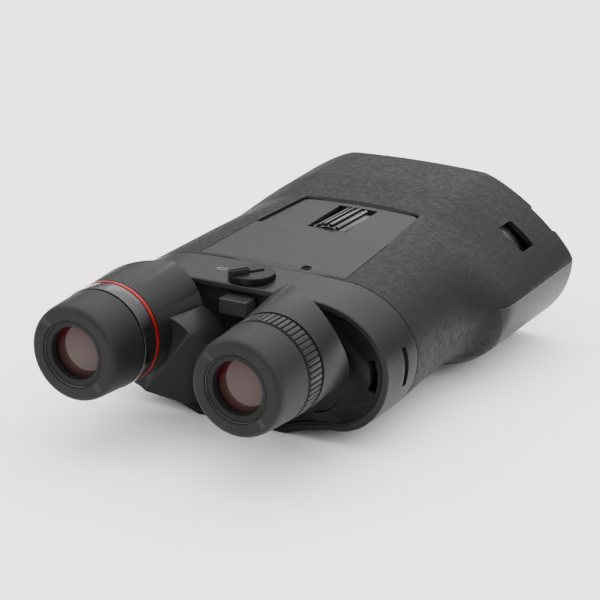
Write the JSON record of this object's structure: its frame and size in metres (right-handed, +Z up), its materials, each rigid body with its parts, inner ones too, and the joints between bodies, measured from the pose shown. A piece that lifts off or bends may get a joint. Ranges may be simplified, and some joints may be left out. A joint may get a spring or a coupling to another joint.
{
  "type": "binoculars",
  "caption": "Image-stabilised roof-prism binoculars with a wide armoured housing, swinging prism arms for the eyepieces, a central focus wheel and a rotary power switch.",
  "frame": {"origin": "under the middle of the binoculars, on the plane of the flat keel they stand on", "axes": "+X to the user's right, +Y from the eyepieces towards the objectives, +Z up"},
  "size_m": [0.1482, 0.2134, 0.0695],
  "materials": {
    "armour": "textured rubber armour",
    "plastic": "satin moulded",
    "gloss": "glossy moulded",
    "rubber": "soft rubber",
    "red": "red anodised",
    "glass": "coated",
    "metal": "machined",
    "brass": "machined",
    "board": "solder mask",
    "cell": "printed sleeve"
  },
  "bodies": {
    "housing": {"upper_housing": "armour", "lower_housing": "plastic", "top_panel": "plastic", "rear_bezel": "plastic", "hinge_plate": "plastic", "arm_stop_block": "plastic", "front_face": "plastic", "right_objective_ring": "plastic", "left_objective_ring": "plastic", "right_objective_lens": "glass", "left_objective_lens": "glass", "right_objective_tube": "metal", "left_objective_tube": "metal", "battery_tray": "plastic", "battery_contact": "metal", "right_battery": "cell", "left_battery": "cell", "right_guide_rod": "metal", "left_guide_rod": "metal", "right_gimbal_bearing": "metal", "left_gimbal_bearing": "metal", "yaw_magnet": "metal", "pitch_magnet": "metal", "status_lamp": "glass", "tripod_bush": "metal", "circuit_board": "board"},
    "right_arm": {"right_prism_arm": "plastic", "right_rhomboid_prism": "glass", "right_arm_cover": "plastic", "right_pivot_hub": "metal", "right_arm_gear": "brass", "right_eyepiece_barrel": "metal", "right_eye_lens": "glass"},
    "left_arm": {"left_prism_arm": "plastic", "left_rhomboid_prism": "glass", "left_arm_cover": "plastic", "left_pivot_hub": "metal", "left_arm_gear": "brass", "left_eyepiece_barrel": "metal", "left_eye_lens": "glass", "left_band": "gloss", "left_red_ring": "red"},
    "right_sleeve": {"right_eyecup_sleeve": "plastic"},
    "left_sleeve": {"left_eyecup_sleeve": "plastic"},
    "right_cup": {"right_eyecup": "rubber"},
    "left_cup": {"left_eyecup": "rubber"},
    "dioptre": {"dioptre_ring": "plastic"},
    "focus_knob": {"focus_wheel": "gloss", "focus_screw": "brass"},
    "focus_slider": {"focus_carriage": "metal", "right_focus_lens": "glass", "left_focus_lens": "glass"},
    "switch": {"power_switch": "plastic"},
    "door": {"battery_door": "plastic"},
    "pitch_frame": {"outer_gimbal": "metal", "pitch_coil": "brass"},
    "yaw_frame": {"inner_gimbal": "metal", "right_roof_prism": "glass", "left_roof_prism": "glass", "yaw_coil": "brass"}
  },
  "joints": [
    {"name": "right_arm_swing", "type": "hinge", "parent": "housing", "child": "right_arm", "pos_m": [0.021, -0.04675, 0.0298], "axis": [0, 1, 0], "range_deg": [-25, 9]},
    {"name": "left_arm_swing", "type": "hinge", "parent": "housing", "child": "left_arm", "pos_m": [-0.021, -0.04675, 0.0298], "axis": [0, 1, 0], "range_deg": [-9, 25]},
    {"name": "dioptre_turn", "type": "hinge", "parent": "right_arm", "child": "dioptre", "pos_m": [0.0355, -0.08275, 0.043], "axis": [0, 1, 0], "range_deg": [-60, 60]},
    {"name": "right_eyecup_twist", "type": "hinge", "parent": "right_arm", "child": "right_sleeve", "pos_m": [0.0355, -0.09675, 0.043], "axis": [0, -1, 0], "range_deg": [0, 120]},
    {"name": "right_eyecup_rise", "type": "slide", "parent": "right_sleeve", "child": "right_cup", "axis": [0, -1, 0], "range_m": [0, 0.008]},
    {"name": "left_eyecup_twist", "type": "hinge", "parent": "left_arm", "child": "left_sleeve", "pos_m": [-0.0355, -0.09675, 0.043], "axis": [0, -1, 0], "range_deg": [0, 120]},
    {"name": "left_eyecup_rise", "type": "slide", "parent": "left_sleeve", "child": "left_cup", "axis": [0, -1, 0], "range_m": [0, 0.008]},
    {"name": "focus_turn", "type": "hinge", "parent": "housing", "child": "focus_knob", "pos_m": [0, 0.03775, 0.0524], "axis": [0, 1, 0], "range_deg": [-270, 270]},
    {"name": "focus_travel", "type": "slide", "parent": "housing", "child": "focus_slider", "axis": [0, 1, 0], "range_m": [-0.00265, 0.00265]},
    {"name": "power_switch_turn", "type": "hinge", "parent": "housing", "child": "switch", "pos_m": [0, -0.03555, 0.058], "axis": [0, 0, 1], "range_deg": [-70, 0]},
    {"name": "battery_door_swing", "type": "hinge", "parent": "housing", "child": "door", "pos_m": [0, 0.09965, 0.0204], "axis": [1, 0, 0], "range_deg": [0, 90]},
    {"name": "stabiliser_pitch", "type": "hinge", "parent": "housing", "child": "pitch_frame", "pos_m": [0, -0.00275, 0.031], "axis": [1, 0, 0], "range_deg": [-3, 3]},
    {"name": "stabiliser_yaw", "type": "hinge", "parent": "pitch_frame", "child": "yaw_frame", "pos_m": [0, -0.00275, 0.031], "axis": [0, 0, 1], "range_deg": [-3, 3]}
  ],
  "couplings": [
    {"joint": "left_arm_swing", "follows": "right_arm_swing", "ratio": -1},
    {"joint": "right_eyecup_rise", "follows": "right_eyecup_twist", "m_per_rad": 0.0038196},
    {"joint": "left_eyecup_rise", "follows": "left_eyecup_twist", "m_per_rad": 0.0038196},
    {"joint": "focus_travel", "follows": "focus_turn", "m_per_rad": 0.000509}
  ]
}
